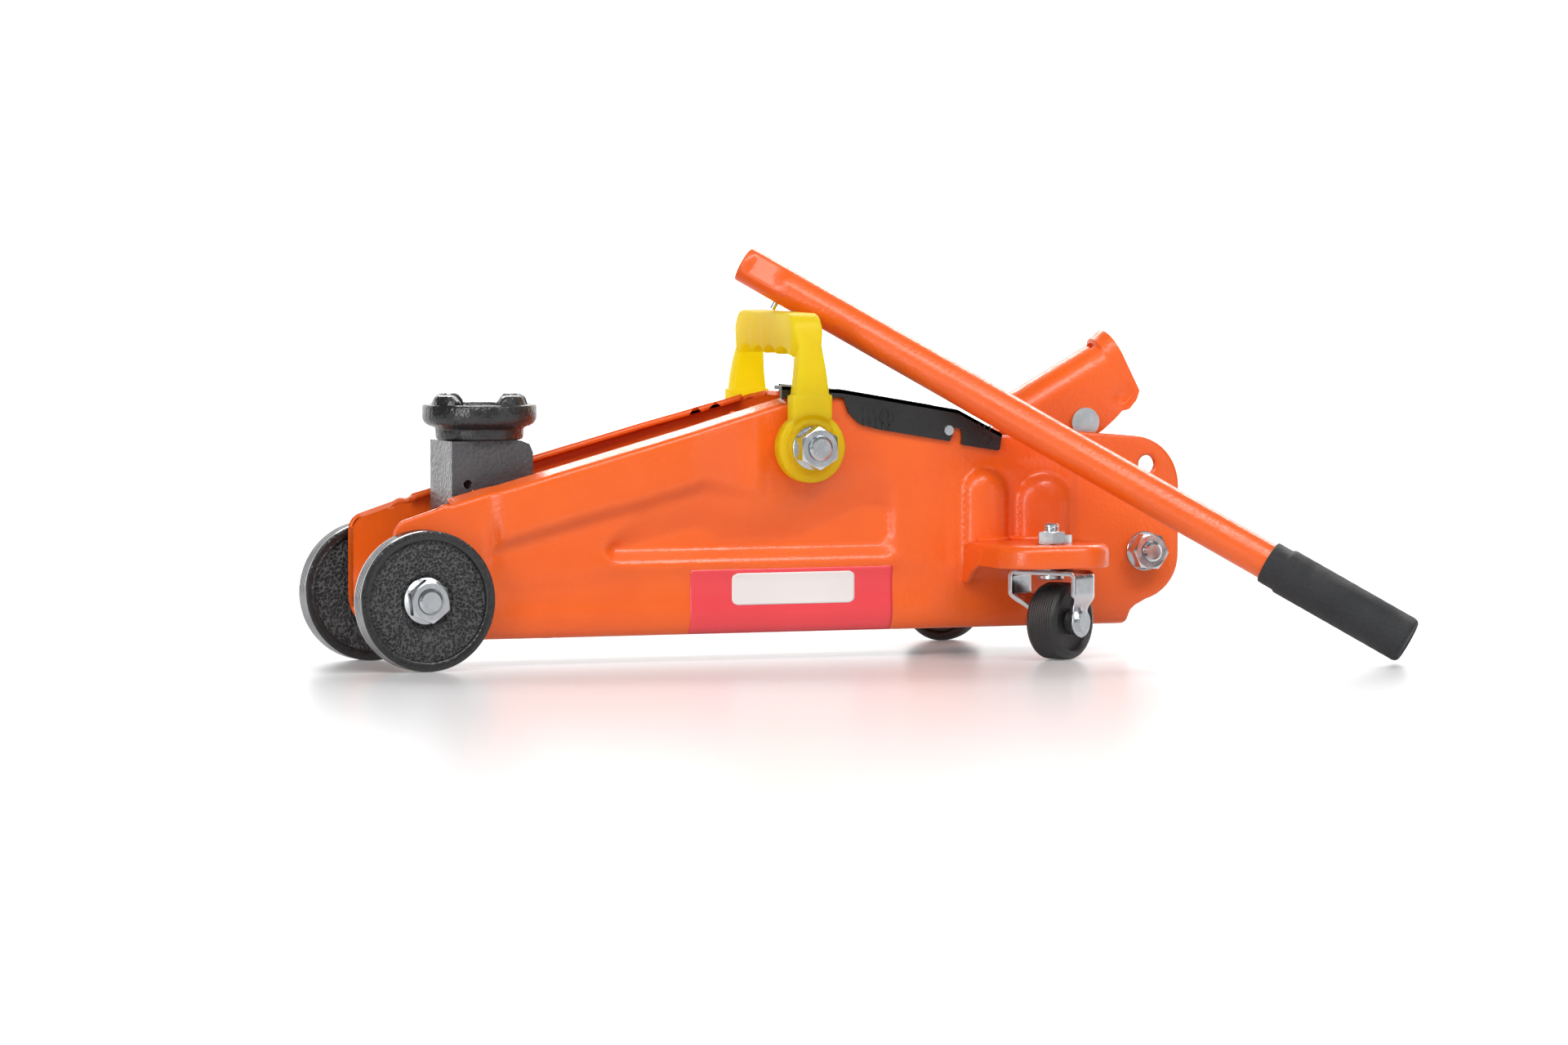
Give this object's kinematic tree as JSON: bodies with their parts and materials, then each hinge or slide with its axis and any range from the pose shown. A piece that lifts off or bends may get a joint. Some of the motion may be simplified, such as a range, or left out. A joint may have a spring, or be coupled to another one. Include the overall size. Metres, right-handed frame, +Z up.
{
  "type": "hydraulic trolley jack",
  "caption": "Low hydraulic trolley jack with side plates, lift arm on level links, swivel saddle, pump unit, caster wings, carry handle and a loose handle bar.",
  "frame": {"origin": "centre of the saddle's flat seat face, saddle at its lowest", "axes": "+Z up, along the saddle's lifting and swivel axis; +X along the jack from the front wheels to the handle socket; -Y is the left side, where the handle bar lies"},
  "size_m": [0.519, 0.2819, 0.2066],
  "materials": {
    "orange_paint": "glossy orange-peel paint",
    "black_paint": "semi-gloss paint",
    "wheel_iron": "rough black crackle, bright worn tread",
    "caster_nylon": "satin, fine moulded ribs",
    "zinc": "bright zinc plate",
    "bare_steel": "turned steel, lightly oiled",
    "spring_steel": "drawn wire",
    "cover_plastic": "semi-gloss moulded",
    "yellow_plastic": "translucent, glossy",
    "label_film": "printed film",
    "tank_paint": "satin dark grey",
    "rubber": "fine-grained, matte"
  },
  "bodies": {
    "frame": {"left_side_plate": "orange_paint", "right_side_plate": "orange_paint", "front_axle": "zinc", "axle_spacer": "bare_steel", "axle_nuts": "zinc", "main_pivot_bolt": "zinc", "pivot_nuts": "zinc", "pivot_bushes": "bare_steel", "link_studs": "bare_steel", "rear_bolt": "zinc", "rear_nuts": "zinc", "rear_spacer": "bare_steel", "left_caster_wing": "orange_paint", "right_caster_wing": "orange_paint", "caster_stems": "zinc", "caster_nuts": "zinc", "rear_cover": "cover_plastic", "cover_pegs": "zinc", "side_label": "label_film", "valve_block": "tank_paint", "reservoir": "tank_paint", "ram_cylinder": "bare_steel", "cylinder_head": "tank_paint", "rod_seal": "rubber", "pump_cylinder": "bare_steel", "filler_plug": "rubber", "socket_pin": "zinc", "return_springs": "spring_steel", "plunger_spring": "spring_steel"},
    "lift_arm": {"lift_arm": "orange_paint", "crank_pin": "bare_steel", "bracket_pin": "zinc"},
    "level_links": {"left_level_link": "black_paint", "right_level_link": "black_paint"},
    "saddle_bracket": {"saddle_bracket": "black_paint", "link_pins": "zinc"},
    "saddle": {"saddle": "black_paint"},
    "ram": {"ram": "bare_steel", "piston_seal": "rubber", "spring_bar": "bare_steel"},
    "pump_plunger": {"pump_plunger": "bare_steel"},
    "handle_socket": {"handle_socket": "orange_paint", "roller_pin": "zinc"},
    "pump_roller": {"pump_roller": "bare_steel"},
    "release_valve": {"release_valve": "zinc"},
    "left_front_wheel": {"left_front_wheel": "wheel_iron"},
    "right_front_wheel": {"right_front_wheel": "wheel_iron"},
    "left_caster": {"left_caster_fork": "zinc", "left_caster_axle": "zinc"},
    "right_caster": {"right_caster_fork": "zinc", "right_caster_axle": "zinc"},
    "left_caster_wheel": {"left_caster_wheel": "caster_nylon"},
    "right_caster_wheel": {"right_caster_wheel": "caster_nylon"},
    "carry_handle": {"carry_handle": "yellow_plastic"},
    "handle_bar": {"handle_tube": "orange_paint", "locating_pin": "zinc", "handle_grip": "rubber"}
  },
  "joints": [
    {"name": "lift", "type": "hinge", "parent": "frame", "child": "lift_arm", "pos_m": [0.16, 0, -0.0166], "axis": [0, 1, 0], "range_deg": [0, 75]},
    {"name": "level_link_swing", "type": "hinge", "parent": "frame", "child": "level_links", "pos_m": [0.146, 0, -0.0446], "axis": [0, 1, 0], "range_deg": [0, 75]},
    {"name": "bracket_level", "type": "hinge", "parent": "lift_arm", "child": "saddle_bracket", "pos_m": [0, 0, -0.058], "axis": [0, 1, 0], "range_deg": [-75, 0]},
    {"name": "saddle_swivel", "type": "hinge", "parent": "saddle_bracket", "child": "saddle", "pos_m": [0, 0, 0], "axis": [0, 0, 1], "continuous": true},
    {"name": "ram_slide", "type": "slide", "parent": "frame", "child": "ram", "axis": [-1, 0, 0], "range_m": [0, 0.0609], "deforming": ["return_springs"]},
    {"name": "handle_pump", "type": "hinge", "parent": "frame", "child": "handle_socket", "pos_m": [0.32254, 0, -0.0077], "axis": [0, 1, 0], "range_deg": [-25, 20]},
    {"name": "plunger_slide", "type": "slide", "parent": "frame", "child": "pump_plunger", "axis": [-1, 0, 0], "range_m": [-0.0092, 0.0074], "deforming": ["plunger_spring"]},
    {"name": "roller_spin", "type": "hinge", "parent": "handle_socket", "child": "pump_roller", "pos_m": [0.32254, 0, -0.0297], "axis": [0, 1, 0], "continuous": true},
    {"name": "release_turn", "type": "hinge", "parent": "frame", "child": "release_valve", "pos_m": [0.31364, 0, -0.06143], "axis": [1, 0, 0], "range_deg": [0, 180]},
    {"name": "left_wheel_spin", "type": "hinge", "parent": "frame", "child": "left_front_wheel", "pos_m": [-0.044, -0.0435, -0.089], "axis": [0, 1, 0], "continuous": true},
    {"name": "right_wheel_spin", "type": "hinge", "parent": "frame", "child": "right_front_wheel", "pos_m": [-0.044, 0.0435, -0.089], "axis": [0, 1, 0], "continuous": true},
    {"name": "left_caster_swivel", "type": "hinge", "parent": "frame", "child": "left_caster", "pos_m": [0.27544, -0.082, -0.079], "axis": [0, 0, 1], "continuous": true},
    {"name": "right_caster_swivel", "type": "hinge", "parent": "frame", "child": "right_caster", "pos_m": [0.27544, 0.082, -0.079], "axis": [0, 0, 1], "continuous": true},
    {"name": "left_caster_spin", "type": "hinge", "parent": "left_caster", "child": "left_caster_wheel", "pos_m": [0.28209, -0.07756, -0.1045], "axis": [-0.5554, 0.8316, 0], "continuous": true},
    {"name": "right_caster_spin", "type": "hinge", "parent": "right_caster", "child": "right_caster_wheel", "pos_m": [0.28184, 0.0772, -0.1045], "axis": [0.6, 0.8, 0], "continuous": true},
    {"name": "carry_swing", "type": "hinge", "parent": "frame", "child": "carry_handle", "pos_m": [0.16, 0, -0.0166], "axis": [0, 1, 0], "range_deg": [-60, 0]},
    {"name": "bar_lift_off", "type": "slide", "parent": "frame", "child": "handle_bar", "axis": [0, 0, 1], "range_m": [0, 0.12]}
  ],
  "couplings": [
    {"joint": "level_link_swing", "follows": "lift", "ratio": 1},
    {"joint": "bracket_level", "follows": "lift", "ratio": -1},
    {"joint": "ram_slide", "follows": "lift", "m_per_rad": 0.046506},
    {"joint": "plunger_slide", "follows": "handle_pump", "m_per_rad": 0.0207}
  ]
}
